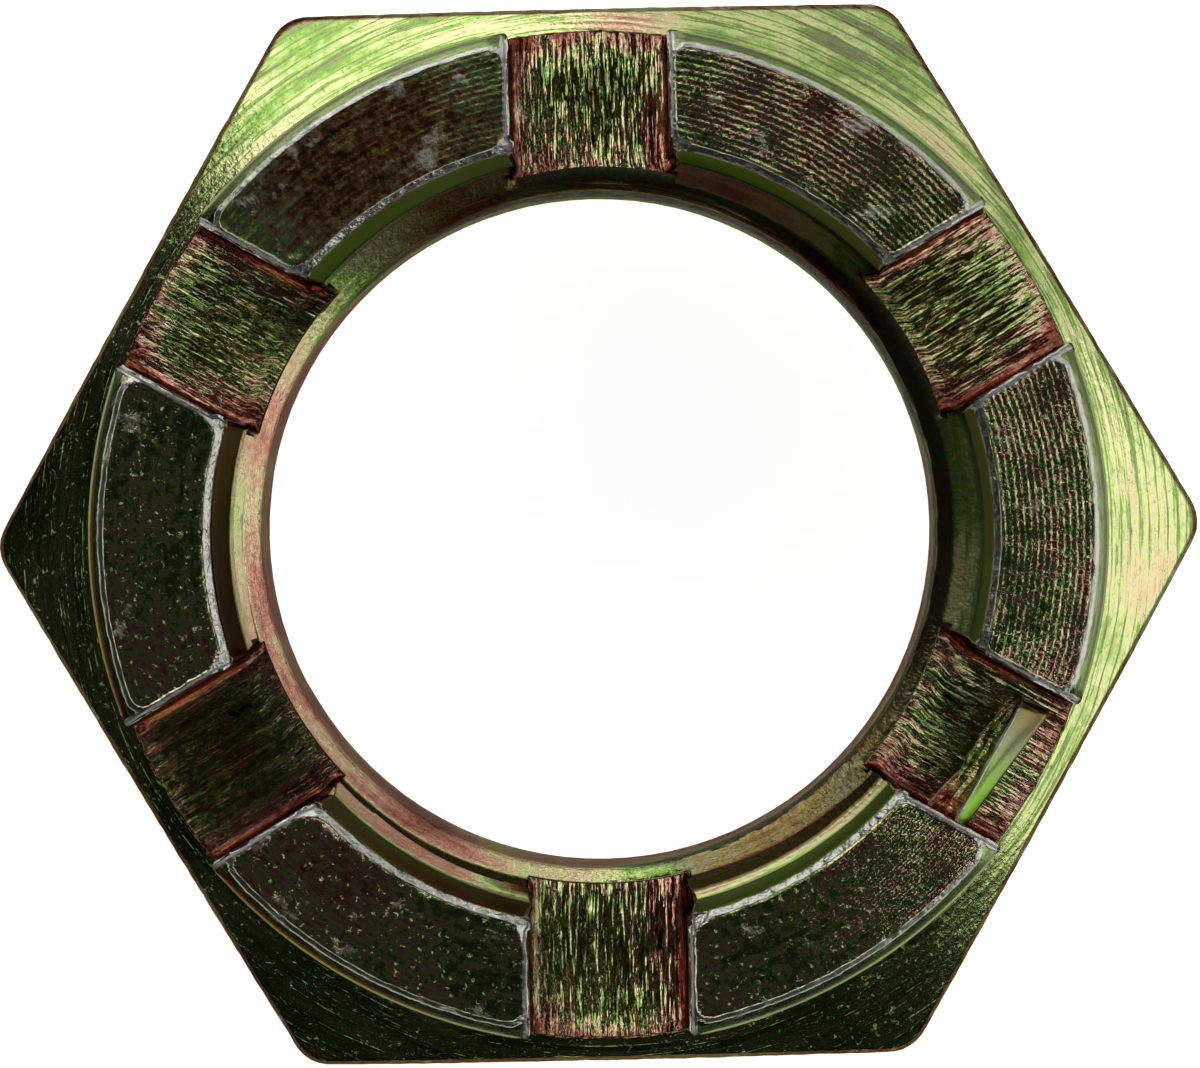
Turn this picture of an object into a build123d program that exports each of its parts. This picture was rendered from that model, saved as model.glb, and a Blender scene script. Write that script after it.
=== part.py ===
from build123d import *

import os
from math import cos, radians, sin, sqrt, tan

# Castellated axle nut, one solid piece of steel: a hexagon nut whose upper end is a slotted crown.
# Millimetres. The origin is the middle of the bearing face, +Z points out through the crown,
# and two corners of the hexagon lie on the X axis.

# Hexagon
across_flats = 32.0
nut_height = 16.0
corner_radius = 1.2
shoulder_angle = 30.0
shoulder_edge_round = 0.15
bearing_face_diameter = 30.4
bearing_chamfer_angle = 30.0

# Thread, M22 x 1.5: the bore is left at its tapping size, which is where the crests of the thread stand
thread_diameter = 22.0
thread_pitch = 1.5
bearing_countersink_diameter = 22.6
bearing_countersink_angle = 120.0

# Crown
crown_height = 5.8
crown_step = 0.7
crown_outer_round = 0.5
crown_inner_round = 0.15

# Mouth of the bore: a tapered wall inside the crown, then a countersink down to the bore
mouth_clearance = 0.45
mouth_draft = 4.0
mouth_wall_lift = 0.45
mouth_countersink_angle = 120.0

# Slots for the split pin, one in the middle of each side
slot_count = 6
slot_width = 4.8
slot_depth = 5.4
slot_floor_round = 0.3
slot_edge_round = 0.12

# Burr: a sliver of the crown's skin left standing across one slot, fast to one wall and to the floor.
# The setbacks are measured inwards from the outside of the crown.
burr_slot_angle = 330.0
burr_end_gap = 0.6
burr_seat = 0.2
burr_root_height = 1.8
burr_root_foot_setback = 2.8
burr_root_ridge_setback = 1.6
burr_root_back_setback = 1.3
burr_tip_height = 1.0
burr_tip_foot_setback = 1.75
burr_tip_ridge_setback = 1.4
burr_tip_back_setback = 0.75
burr_back_drop = 0.2

# How far the turned outline reaches past the hexagon's corners
corner_margin = 1.0

# Sizes that follow from those above
bore_radius = (thread_diameter - thread_pitch) / 2
crown_radius = across_flats / 2 - crown_step
corner_reach = across_flats / sqrt(3) + corner_margin
crown_foot = nut_height - crown_height
slot_floor = nut_height - slot_depth
bearing_radius = bearing_face_diameter / 2
bearing_countersink_radius = bearing_countersink_diameter / 2
bearing_countersink_slope = tan(radians(bearing_countersink_angle / 2))
bearing_countersink_depth = (bearing_countersink_radius - bore_radius) / bearing_countersink_slope
mouth_foot = slot_floor + mouth_wall_lift
mouth_foot_radius = thread_diameter / 2 + mouth_clearance
mouth_top_radius = mouth_foot_radius + (nut_height - mouth_foot) * tan(radians(mouth_draft))
mouth_countersink_depth = (mouth_foot_radius - bore_radius) / tan(radians(mouth_countersink_angle / 2))

# Turned outline of the hexagon: bearing face with its chamfer below, sloping shoulder above
with BuildPart() as turned_blank:
    with BuildSketch(Plane.XZ):
        with BuildLine():
            bearing = Line((0, 0), (bearing_radius, 0))
            chamfer_rise = (corner_reach - bearing_radius) * tan(radians(bearing_chamfer_angle))
            lower_chamfer = Line(bearing @ 1, (corner_reach, chamfer_rise))
            shoulder_drop = (corner_reach - crown_radius) * tan(radians(shoulder_angle))
            rim = Line(lower_chamfer @ 1, (corner_reach, crown_foot - shoulder_drop))
            shoulder = Line(rim @ 1, (crown_radius, crown_foot))
            Polyline(shoulder @ 1, (0, crown_foot), (0, 0))
        make_face()
    revolve(axis=Axis.Z)

# Everything that is cut away along the axis: lower countersink, bore, upper countersink, tapered wall
with BuildPart() as bore_cutter:
    with BuildSketch(Plane.XZ):
        with BuildLine():
            lower_sink = Line((bearing_countersink_radius, 0), (bore_radius, bearing_countersink_depth))
            wall = Line(lower_sink @ 1, (bore_radius, mouth_foot - mouth_countersink_depth))
            upper_sink = Line(wall @ 1, (mouth_foot_radius, mouth_foot))
            taper = Line(upper_sink @ 1, (mouth_top_radius, nut_height))
            Polyline(taper @ 1, (0, nut_height), (0, 0), lower_sink @ 0)
        make_face()
    revolve(axis=Axis.Z)

# One slot, lying along +X: rounded at the floor's corners, with the edges of the crown broken at the top
with BuildPart() as slot_cutter:
    with BuildSketch(Plane.YZ) as slot_section:
        with BuildLine():
            half_floor = Line((0, slot_floor), (slot_width / 2, slot_floor))
            side = Line(half_floor @ 1, (slot_width / 2, nut_height - slot_edge_round))
            edge_centre = (slot_width / 2 + slot_edge_round, nut_height - slot_edge_round)
            broken_edge = CenterArc(edge_centre, slot_edge_round, 180, -90)
            Polyline(broken_edge @ 1, broken_edge @ 1 + (0, slot_depth), (0, nut_height + slot_depth))
            mirror(about=Plane.YZ)
        make_face()
        fillet(slot_section.vertices().group_by(Axis.Y)[0], slot_floor_round)
    extrude(amount=corner_reach)

# The burr, lofted from its root in the slot's clockwise wall to its free end
burr_angle = radians(burr_slot_angle)
across_slot = Plane(
    origin=(0, 0, slot_floor),
    x_dir=(cos(burr_angle), sin(burr_angle), 0),
    z_dir=(sin(burr_angle), -cos(burr_angle), 0),
)


def burr_outline(foot_setback, ridge_setback, back_setback, height):
    """Draws one section of the burr: a slope up to the ridge, then the skin and the steep back."""
    Polyline(
        (crown_radius - foot_setback, -burr_seat),
        (crown_radius - ridge_setback, height),
        (crown_radius - back_setback, height - burr_back_drop),
        (crown_radius - back_setback, -burr_seat),
        close=True,
    )


with BuildPart() as burr:
    with BuildSketch(across_slot.offset(slot_width / 2 + burr_seat)):
        with BuildLine():
            burr_outline(
                burr_root_foot_setback, burr_root_ridge_setback, burr_root_back_setback, burr_root_height
            )
        make_face()
    with BuildSketch(across_slot.offset(burr_end_gap - slot_width / 2)):
        with BuildLine():
            burr_outline(
                burr_tip_foot_setback, burr_tip_ridge_setback, burr_tip_back_setback, burr_tip_height
            )
        make_face()
    loft()

# The nut: hexagon within its turned outline, crown on top, bore and slots cut, burr left in place
with BuildPart() as axle_nut:
    with BuildSketch() as hexagon:
        RegularPolygon(radius=across_flats / 2, side_count=6, major_radius=False)
        fillet(hexagon.vertices(), corner_radius)
    extrude(amount=crown_foot)
    add(turned_blank.part, mode=Mode.INTERSECT)
    shoulder_face = axle_nut.faces().filter_by(GeomType.CONE).sort_by(Axis.Z)[-1]
    fillet(shoulder_face.edges() - shoulder_face.edges().sort_by(Axis.Z)[-1:], shoulder_edge_round)

    with BuildSketch(Plane.XY.offset(crown_foot)):
        Circle(crown_radius)
    extrude(amount=crown_height)
    add(bore_cutter.part, mode=Mode.SUBTRACT)
    fillet(axle_nut.edges().group_by(Axis.Z)[-1].sort_by(SortBy.RADIUS)[0], crown_inner_round)
    fillet(axle_nut.edges().group_by(Axis.Z)[-1].sort_by(SortBy.RADIUS)[-1], crown_outer_round)

    with PolarLocations(0, slot_count, start_angle=180 / slot_count):
        add(slot_cutter.part, mode=Mode.SUBTRACT)
    add(burr.part)

axle_nut.part.label = "axle_nut"

os.makedirs("parts", exist_ok=True)
export_step(axle_nut.part, "parts/axle_nut.step")
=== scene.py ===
# %% [markdown]
# # A castellated axle nut
# The real object is a hexagon nut whose upper end is a crown with six slots for a split pin. It is
# turned and tapped, its slots are broached, and it is zinc plated and passivated in yellow chromate.
# The part's source gives the solid. This script dresses it: it builds the same form again as fine
# meshes that carry the marks of each tool, and then paints the plating. Lengths are in millimetres
# until a mesh is made, because that is how a maker reads them.

import math

import bpy
import numpy as np
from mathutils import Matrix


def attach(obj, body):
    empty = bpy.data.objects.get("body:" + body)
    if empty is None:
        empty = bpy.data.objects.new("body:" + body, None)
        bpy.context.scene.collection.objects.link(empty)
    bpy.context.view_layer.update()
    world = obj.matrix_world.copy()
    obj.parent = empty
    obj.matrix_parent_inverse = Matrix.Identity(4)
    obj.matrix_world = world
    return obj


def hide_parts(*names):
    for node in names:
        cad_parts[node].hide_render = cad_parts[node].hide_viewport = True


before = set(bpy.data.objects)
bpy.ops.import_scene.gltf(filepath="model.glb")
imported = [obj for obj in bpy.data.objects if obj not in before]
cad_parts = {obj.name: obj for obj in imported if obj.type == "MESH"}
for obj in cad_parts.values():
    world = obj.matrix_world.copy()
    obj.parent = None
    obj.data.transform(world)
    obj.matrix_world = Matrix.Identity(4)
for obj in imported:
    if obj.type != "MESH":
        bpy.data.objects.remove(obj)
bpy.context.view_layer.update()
MM = 0.001

# %% [markdown]
# ## Camera
# The nut was photographed from straight above the crown, from about 0.4 m away. A long lens at that
# distance gives the right amount of perspective: the far end of the bore looks a little smaller than
# the near one. The nut lies turned by about a degree, so the camera is rolled by the same amount.

# %% Camera
PICTURE_WIDTH = 1200
PIXELS_PER_MM = 32.87
SHARP_HEIGHT = 9.8
CAMERA_DISTANCE = 390.0
NUT_TURN = math.radians(1.3)
CAMERA_OFFSET = (0.043, 0.012)


def put(name, data):
    """Puts a camera, a light or a mesh into the scene, as an object at the origin."""
    made = bpy.data.objects.new(name, data)
    bpy.context.scene.collection.objects.link(made)
    return made


camera_data = bpy.data.cameras.new("camera")
camera_data.sensor_width = 36.0
camera_data.lens = PIXELS_PER_MM * CAMERA_DISTANCE * camera_data.sensor_width / PICTURE_WIDTH
camera_data.clip_start = 0.01
camera_data.clip_end = 10.0
camera = put("camera", camera_data)
camera.location = (CAMERA_OFFSET[0] * MM, CAMERA_OFFSET[1] * MM, (SHARP_HEIGHT + CAMERA_DISTANCE) * MM)
camera.rotation_euler = (0.0, 0.0, -NUT_TURN)
bpy.context.scene.camera = camera
bpy.context.scene.view_settings.view_transform = "Standard"
print("lens in mm", round(camera_data.lens, 1))

# %% [markdown]
# ## One helper for every node tree
# Materials, the world and Geometry Nodes are all trees of nodes. A node needs three things: its kind,
# its settings, and what goes into its sockets. One small function does all three, and takes either a
# plain value or another node for each socket.


# %% Add a node
def add(tree, kind, inputs=None, **settings):
    """Adds a node, sets its properties, and fills or links its inputs, named or numbered."""
    node = tree.nodes.new(kind)
    for name, value in settings.items():
        setattr(node, name, value)
    for key, value in (inputs or {}).items():
        if isinstance(value, bpy.types.Node):
            value = next(s for s in value.outputs if s.enabled)
        if isinstance(value, bpy.types.NodeSocket):
            tree.links.new(value, node.inputs[key])
        else:
            node.inputs[key].default_value = value
    return node


def colour(code):
    """Turns an sRGB hex value into the linear colour that Blender's nodes work in."""
    parts = [int(code[i:i + 2], 16) / 255 for i in (1, 3, 5)]
    return (*(p / 12.92 if p <= 0.04045 else ((p + 0.055) / 1.055) ** 2.4 for p in parts), 1.0)


def side_share(tree, direction, side, low, high, **ends):
    """A share that grows as a direction turns towards one side, between two cosines."""
    cosine = add(tree, "ShaderNodeVectorMath", {0: direction, 1: side}, operation="DOT_PRODUCT")
    return add(tree, "ShaderNodeMapRange", {"Value": cosine.outputs["Value"], "From Min": low,
                                            "From Max": high, **ends})


# %% [markdown]
# ## Light and floor
# Bright metal has no look of its own: it shows what stands around it. Three soft panels, low at the
# right and behind, light the sloping shoulder on those sides. The sky above stays dim, so the level top
# of the crown reads dark, as it does on the real nut. The floor is white to the camera and to
# reflections, and its diffuse part keeps the nut's shadow.

# %% Floor
FLOOR_REACH = 1.5
FLOOR_DROP = 0.02 * MM  # clear of the bearing face, so that the two surfaces never share a height
PAPER_GLOW = 0.92

corners = [(x * FLOOR_REACH, y * FLOOR_REACH, -FLOOR_DROP) for x, y in ((-1, -1), (1, -1), (1, 1), (-1, 1))]
floor_data = bpy.data.meshes.new("floor")
floor_data.from_pydata(corners, [], [(0, 1, 2, 3)])
floor = put("floor", floor_data)

paper = bpy.data.materials.new("white_paper_sweep")
paper.use_nodes = True
tree = paper.node_tree
tree.nodes.clear()
path = add(tree, "ShaderNodeLightPath").outputs
seen = add(tree, "ShaderNodeMath", {0: path["Is Camera Ray"], 1: path["Is Glossy Ray"]}, operation="MAXIMUM")
glow = add(tree, "ShaderNodeMath", {0: seen, 1: PAPER_GLOW}, operation="MULTIPLY")
lit = add(tree, "ShaderNodeBsdfDiffuse", {"Color": colour("#F4F4F2")})
white = add(tree, "ShaderNodeEmission", {"Color": (1, 1, 1, 1), "Strength": glow})
both = add(tree, "ShaderNodeAddShader", {0: lit, 1: white})
add(tree, "ShaderNodeOutputMaterial", {"Surface": both})
floor_data.materials.append(paper)

# %% Soft panels
# Azimuth in degrees anticlockwise from +X, and distance, width and height in metres
PANELS = {"panel_right": (-13, 0.40, 0.35, 0.30),
          "panel_back": (112, 0.40, 0.26, 0.30),
          "panel_between": (52, 0.44, 0.60, 0.28)}
PANEL_ELEVATION = math.radians(34)
PANEL_WATTS = 0.40

for name, (azimuth, distance, width, height) in PANELS.items():
    data = bpy.data.lights.new(name, "AREA")
    data.shape = "RECTANGLE"
    data.size = width
    data.size_y = height
    data.energy = PANEL_WATTS
    lamp = put(name, data)
    turn = math.radians(azimuth)
    level = distance * math.cos(PANEL_ELEVATION)
    lamp.location = (level * math.cos(turn), level * math.sin(turn), distance * math.sin(PANEL_ELEVATION))
    lamp.rotation_mode = "QUATERNION"
    lamp.rotation_quaternion = lamp.location.to_track_quat("Z", "Y")
    print(name, "radiance", round(PANEL_WATTS / (math.pi * width * height), 2))

# %% Dim sky, a little brighter along the horizon on the panels' side
PANEL_SIDE = (math.cos(math.radians(50)), math.sin(math.radians(50)), 0)
HORIZON_DARK = 0.045
HORIZON_LIT = 0.20
SKY_GLOW = 0.012
ZENITH_GLOW = 0.006

world = bpy.data.worlds.new("dim_studio")
bpy.context.scene.world = world
world.use_nodes = True
tree = world.node_tree
tree.nodes.clear()
direction = add(tree, "ShaderNodeTexCoord").outputs["Generated"]
upward = add(tree, "ShaderNodeSeparateXYZ", {0: direction}).outputs["Z"]
horizon = side_share(tree, direction, PANEL_SIDE, -0.3, 0.3,
                     **{"To Min": HORIZON_DARK, "To Max": HORIZON_LIT})
lift = add(tree, "ShaderNodeMapRange", {"Value": upward, "From Min": 0.02, "From Max": 0.28,
                                       "To Min": horizon, "To Max": SKY_GLOW})
crown_glow = add(tree, "ShaderNodeMapRange", {"Value": upward, "From Min": 0.75, "From Max": 1.0,
                                             "To Min": 0.0, "To Max": ZENITH_GLOW})
lift = add(tree, "ShaderNodeMath", {0: lift, 1: crown_glow}, operation="ADD")
sky = add(tree, "ShaderNodeBackground", {"Color": (1, 1, 1, 1), "Strength": lift})
add(tree, "ShaderNodeOutputWorld", {"Surface": sky})

# %% [markdown]
# ## One sixth of the nut
# The nut repeats six times round its axis, so only the sixth that has one slot in its middle is drawn.
# Its surface is one grid. The rows follow the turned outline: bearing face, chamfer, flat, shoulder,
# crown, mouth and bore. The columns follow the slot's straight walls inside it, and fan out over the
# half merlons at its sides. Between the two stand the columns that climb the slot's wall. Where there
# is no wall they fall on each other, and are welded later.

# %% Sizes in millimetres, as in the part's source
SIDES = 6
HALF_SECTOR = math.pi / SIDES
HALF_FLATS = 16.0
NUT_HEIGHT = 16.0
CORNER_ROUND = 1.2
SLOPE = math.tan(math.radians(30))
BEARING_RADIUS = 15.2
BEARING_MOUTH = 11.3
CROWN_RADIUS = 15.3
CROWN_FOOT = 10.2
MOUTH_TOP = 11.70
MOUTH_FOOT = (11.45, 11.05)
ROOT_RADIUS = 11.1
ROOT_HEIGHT = 10.85
CREST_RADIUS = 10.25
SLOT_HALF = 2.4
SLOT_MIDDLE = 12.8
SLOT_FLOOR = 10.6
FLOOR_ROUND = 0.3

# %% Sizes of rounding and wear, and of what is off centre
EDGE_ROUND = 0.14
EDGE_WEAR = 0.16
SHOULDER_EDGE = 0.14
LOWER_EDGE = 0.12
LIP_RADIUS = 10.72
CORNER_RADIUS = 0.60
BORE_OFFSET = (0.03 * MM, 0.16 * MM, 0.0)
FOOT_OFFSET = (0.22 * MM, 0.04 * MM, 0.0)
RIM_OFFSET = (0.10 * MM, 0.03 * MM, 0.0)


def hexagon_radius(angle):
    """Distance from the axis to the hexagon, rounded at its corners. Angle 0 is the middle of a side."""
    corner_centre = (HALF_FLATS - CORNER_ROUND) / math.cos(HALF_SECTOR)
    touch = math.atan(corner_centre * math.sin(HALF_SECTOR) / HALF_FLATS)
    turn = HALF_SECTOR - np.abs(angle)
    inside = np.maximum(CORNER_ROUND ** 2 - (corner_centre * np.sin(turn)) ** 2, 0)
    rounded = corner_centre * np.cos(turn) + np.sqrt(inside)
    return np.where(np.abs(angle) > touch, rounded, HALF_FLATS / np.cos(angle))


# %% Columns of half a sector
SLOT_COLUMNS = 17
MERLON_COLUMNS = 34
CLOSER_TO_SLOT = 1.25
FILLET_STEPS = 3
WALL_CLIMB = (0, 0.4, 0.8, 0.95, 1)
WALL_STEPS = len(WALL_CLIMB) - 1
EDGE_STEPS = 3
ROUNDS_TO_SETTLE = 8

wall_steps = FILLET_STEPS + WALL_STEPS + EDGE_STEPS
floor_part = np.linspace(0, 1, SLOT_COLUMNS + 1)
wall_part = np.arange(1, wall_steps)
merlon_part = np.linspace(0, 1, MERLON_COLUMNS + 1) ** CLOSER_TO_SLOT
in_slot = np.concatenate([floor_part, np.ones(len(wall_part) + len(merlon_part))])
up_wall = np.concatenate([0 * floor_part, wall_part, np.full(len(merlon_part), wall_steps)])
on_merlon = np.concatenate([np.zeros(len(floor_part) + len(wall_part)), merlon_part])
slot_end = SLOT_COLUMNS
is_merlon = up_wall == wall_steps
print("columns in half a sector", len(in_slot))


def ring_row(radius_of, height_of):
    """A row that runs round the nut without a step: angle, radius and height at each column."""
    angle = np.zeros(len(in_slot))
    for _ in range(ROUNDS_TO_SETTLE):
        inside = np.arcsin(SLOT_HALF * in_slot / radius_of(angle))
        spread = inside[slot_end] + (HALF_SECTOR - inside[slot_end]) * on_merlon
        angle = np.where(is_merlon, spread, inside)
    radius = radius_of(angle)
    return angle, radius, height_of(radius)


def crown_row(radius, height, normal, floor_radius, fade):
    """A row that crosses slot floor, slot wall and merlon. The normal points into the metal."""
    fillet, edge = FLOOR_ROUND * fade, EDGE_ROUND * fade
    side = (SLOT_HALF - fillet) * in_slot
    rho = np.full(len(side), floor_radius)
    z = np.full(len(side), SLOT_FLOOR)
    turn = np.clip(up_wall / FILLET_STEPS, 0, 1) * math.pi / 2
    side = np.where(up_wall > 0, SLOT_HALF - fillet + fillet * np.sin(turn), side)
    z = z + fillet - fillet * np.cos(turn)
    climb = np.interp(up_wall - FILLET_STEPS, range(WALL_STEPS + 1), WALL_CLIMB)
    rho = rho + (radius + edge * normal[0] - rho) * climb
    z = z + (height + edge * normal[1] - z) * climb
    turn = np.clip((wall_steps - up_wall) / EDGE_STEPS, 0, 1) * math.pi / 2
    depth = edge - edge * np.cos(turn)
    over = up_wall > wall_steps - EDGE_STEPS
    side = np.where(over, SLOT_HALF + edge - edge * np.sin(turn), side)
    rho = np.where(over, radius + depth * normal[0], rho)
    z = np.where(over, height + depth * normal[1], z)
    angle = np.arcsin(side / rho)
    start = math.asin((SLOT_HALF + edge) / radius)
    angle = np.where(is_merlon, start + (HALF_SECTOR - start) * on_merlon, angle)
    return angle, rho, z


# %% [markdown]
# ## The turned outline
# A lathe tool sees the nut as one outline. The rows below follow it round the section, closer together
# where the tool's marks are fine. Each row also says what made the surface there: drawn bar, turning,
# facing, broaching or boring. Those marks of origin go with the mesh, and both the tool marks and the
# plating's colours read them.

# %% Outline of the crown between the slot floor's two ends
BREAK_SLOPE = math.tan(math.radians(31))
CHAMFER_SLOPE = math.tan(math.radians(36))
CORNER_SLOPE = math.tan(math.radians(40))
OUTER_BREAK = 0.22
INNER_BREAK = 0.24
CHAMFER = 0.13
LAST_ROUND = 0.07
FACE_ROWS = 50
FADE_LENGTH = 0.5


def run(start, stop, steps):
    """Points along a straight run, without the first one."""
    return [tuple(np.array(start) + (np.array(stop) - start) * k / steps) for k in range(1, steps + 1)]


outline, made_by = [(CROWN_RADIUS, SLOT_FLOOR)], ["turned"]


def trace(points, origin):
    """Carries the outline on, and notes what made this stretch of it."""
    outline.extend(points)
    made_by.extend([origin] * len(points))


face_outer = CROWN_RADIUS - LAST_ROUND - CHAMFER - OUTER_BREAK
face_inner = MOUTH_TOP + LAST_ROUND + INNER_BREAK
chamfer_top = NUT_HEIGHT - OUTER_BREAK * BREAK_SLOPE
chamfer_foot = chamfer_top - CHAMFER * CHAMFER_SLOPE
break_foot = NUT_HEIGHT - INNER_BREAK * BREAK_SLOPE
trace(run(outline[-1], (CROWN_RADIUS, chamfer_foot - 2 * LAST_ROUND), 7), "turned")
trace([(CROWN_RADIUS - 0.3 * LAST_ROUND, chamfer_foot - 0.8 * LAST_ROUND)], "rolled")
trace([(CROWN_RADIUS - LAST_ROUND, chamfer_foot)], "rolled")
trace(run(outline[-1], (face_outer + OUTER_BREAK, chamfer_top), 3), "rolled")
trace(run(outline[-1], (face_outer, NUT_HEIGHT), 3), "break")
trace(run(outline[-1], (face_inner, NUT_HEIGHT), FACE_ROWS), "faced")
trace(run(outline[-1], (face_inner - INNER_BREAK, break_foot), 3), "break")
trace([(MOUTH_TOP + 0.3 * LAST_ROUND, break_foot - 0.8 * LAST_ROUND)], "lip")
trace([(MOUTH_TOP, break_foot - 2 * LAST_ROUND)], "bored")
trace(run(outline[-1], MOUTH_FOOT, 6), "bored")
trace(run(outline[-1], (ROOT_RADIUS, ROOT_HEIGHT), 3), "tapped")
trace(run(outline[-1], (ROOT_RADIUS, SLOT_FLOOR), 2), "tapped")
outline = np.array(outline)

tangent = np.gradient(outline, axis=0)
tangent /= np.linalg.norm(tangent, axis=1)[:, None]
into_metal = np.stack([-tangent[:, 1], tangent[:, 0]], axis=1)
length = np.concatenate([[0], np.cumsum(np.linalg.norm(np.diff(outline, axis=0), axis=1))])
fades = np.clip(np.minimum(length, length[-1] - length) / FADE_LENGTH, 0, 1)
floor_radii = np.linspace(CROWN_RADIUS, LIP_RADIUS, len(outline))
print("rows across the crown", len(outline))

# %% Rows of the bearing face, the flats and the shoulder
BEARING_ROWS = 6
SHOULDER_ROWS = 30
FLAT_ROWS = 8
BORE_HEIGHTS = (9.0, 6.0, 3.0, 0.6)
LAST_BORE_HEIGHT = 0.14
# One of these marks where painted shade darkens the countersink at the thread's root
ORIGINS = ("drawn", "turned", "rolled", "rubbed", "faced", "broached", "torn", "bored", "tapped", "worn",
           "foot_side", "bore_side", "lip", "rim", "threaded", "nicked", "rooted")

rows = []


def keep_row(points, **origin):
    """Stores a row with its share of each origin at every column."""
    angle, radius, height = points
    marks = {name: np.zeros(len(angle)) + origin.get(name, 0) for name in ORIGINS}
    rows.append((angle, radius, height, marks))


def chamfer_height(radius):
    return (radius - BEARING_RADIUS) * SLOPE


def shoulder_height(radius):
    return CROWN_FOOT - (radius - CROWN_RADIUS) * SLOPE


for radius in np.linspace(BEARING_MOUTH, BEARING_RADIUS, BEARING_ROWS):
    keep_row(ring_row(lambda a: radius + 0 * a, lambda r: 0 * r), turned=1)
for share in (0.3, 0.65, 1.0):
    keep_row(ring_row(lambda a: BEARING_RADIUS + (hexagon_radius(a) - LOWER_EDGE - BEARING_RADIUS) * share,
                      chamfer_height), turned=1, worn=0.6 * (share == 1.0))
keep_row(ring_row(lambda a: hexagon_radius(a) - LOWER_EDGE * 0.3,
                  lambda r: chamfer_height(r) + LOWER_EDGE * 0.25), drawn=1, worn=1)

foot = ring_row(hexagon_radius, lambda r: chamfer_height(r) + LOWER_EDGE)
head = ring_row(hexagon_radius, lambda r: shoulder_height(r) - SHOULDER_EDGE)
for share in np.linspace(0, 1, FLAT_ROWS + 1):
    height = foot[2] + (head[2] - foot[2]) * share
    keep_row((foot[0], foot[1], height), drawn=1, worn=0.5 * (share in (0.0, 1.0)))

inset = SHOULDER_EDGE * math.cos(math.radians(30))
for t in (0.25, 0.5, 0.75, 1.0):
    angle, radius, _ = ring_row(lambda a: hexagon_radius(a) - inset * t * t, lambda r: 0 * r)
    low = shoulder_height(hexagon_radius(angle)) - SHOULDER_EDGE * (1 - t) ** 2
    height = low + SHOULDER_EDGE * math.sin(math.radians(30)) * t * t
    keep_row((angle, radius, height), drawn=1 - t, turned=t, worn=0.55 - 0.2 * t, nicked=1)
for share in np.linspace(0, 1, SHOULDER_ROWS + 1)[1:]:
    keep_row(ring_row(lambda a: (hexagon_radius(a) - inset
                                 - (hexagon_radius(a) - inset - CROWN_RADIUS) * share),
                      shoulder_height), turned=1)
keep_row(ring_row(lambda a: CROWN_RADIUS + 0 * a, lambda r: 0 * r + CROWN_FOOT + 0.2), turned=1)

# %% Rows of the crown, where wear and the mouth's stretches are told apart
MERLON_NAMES = {"break": "rubbed", "lip": "bored", "tapped": "bored"}
TORN_REACH = 0.75
# Painted shade of the thread's root darkens the countersink from this far inside its upper edge
FOOT_STEP = 0.12  # the thread's root darkens the countersink from this far inside its upper edge

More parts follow.
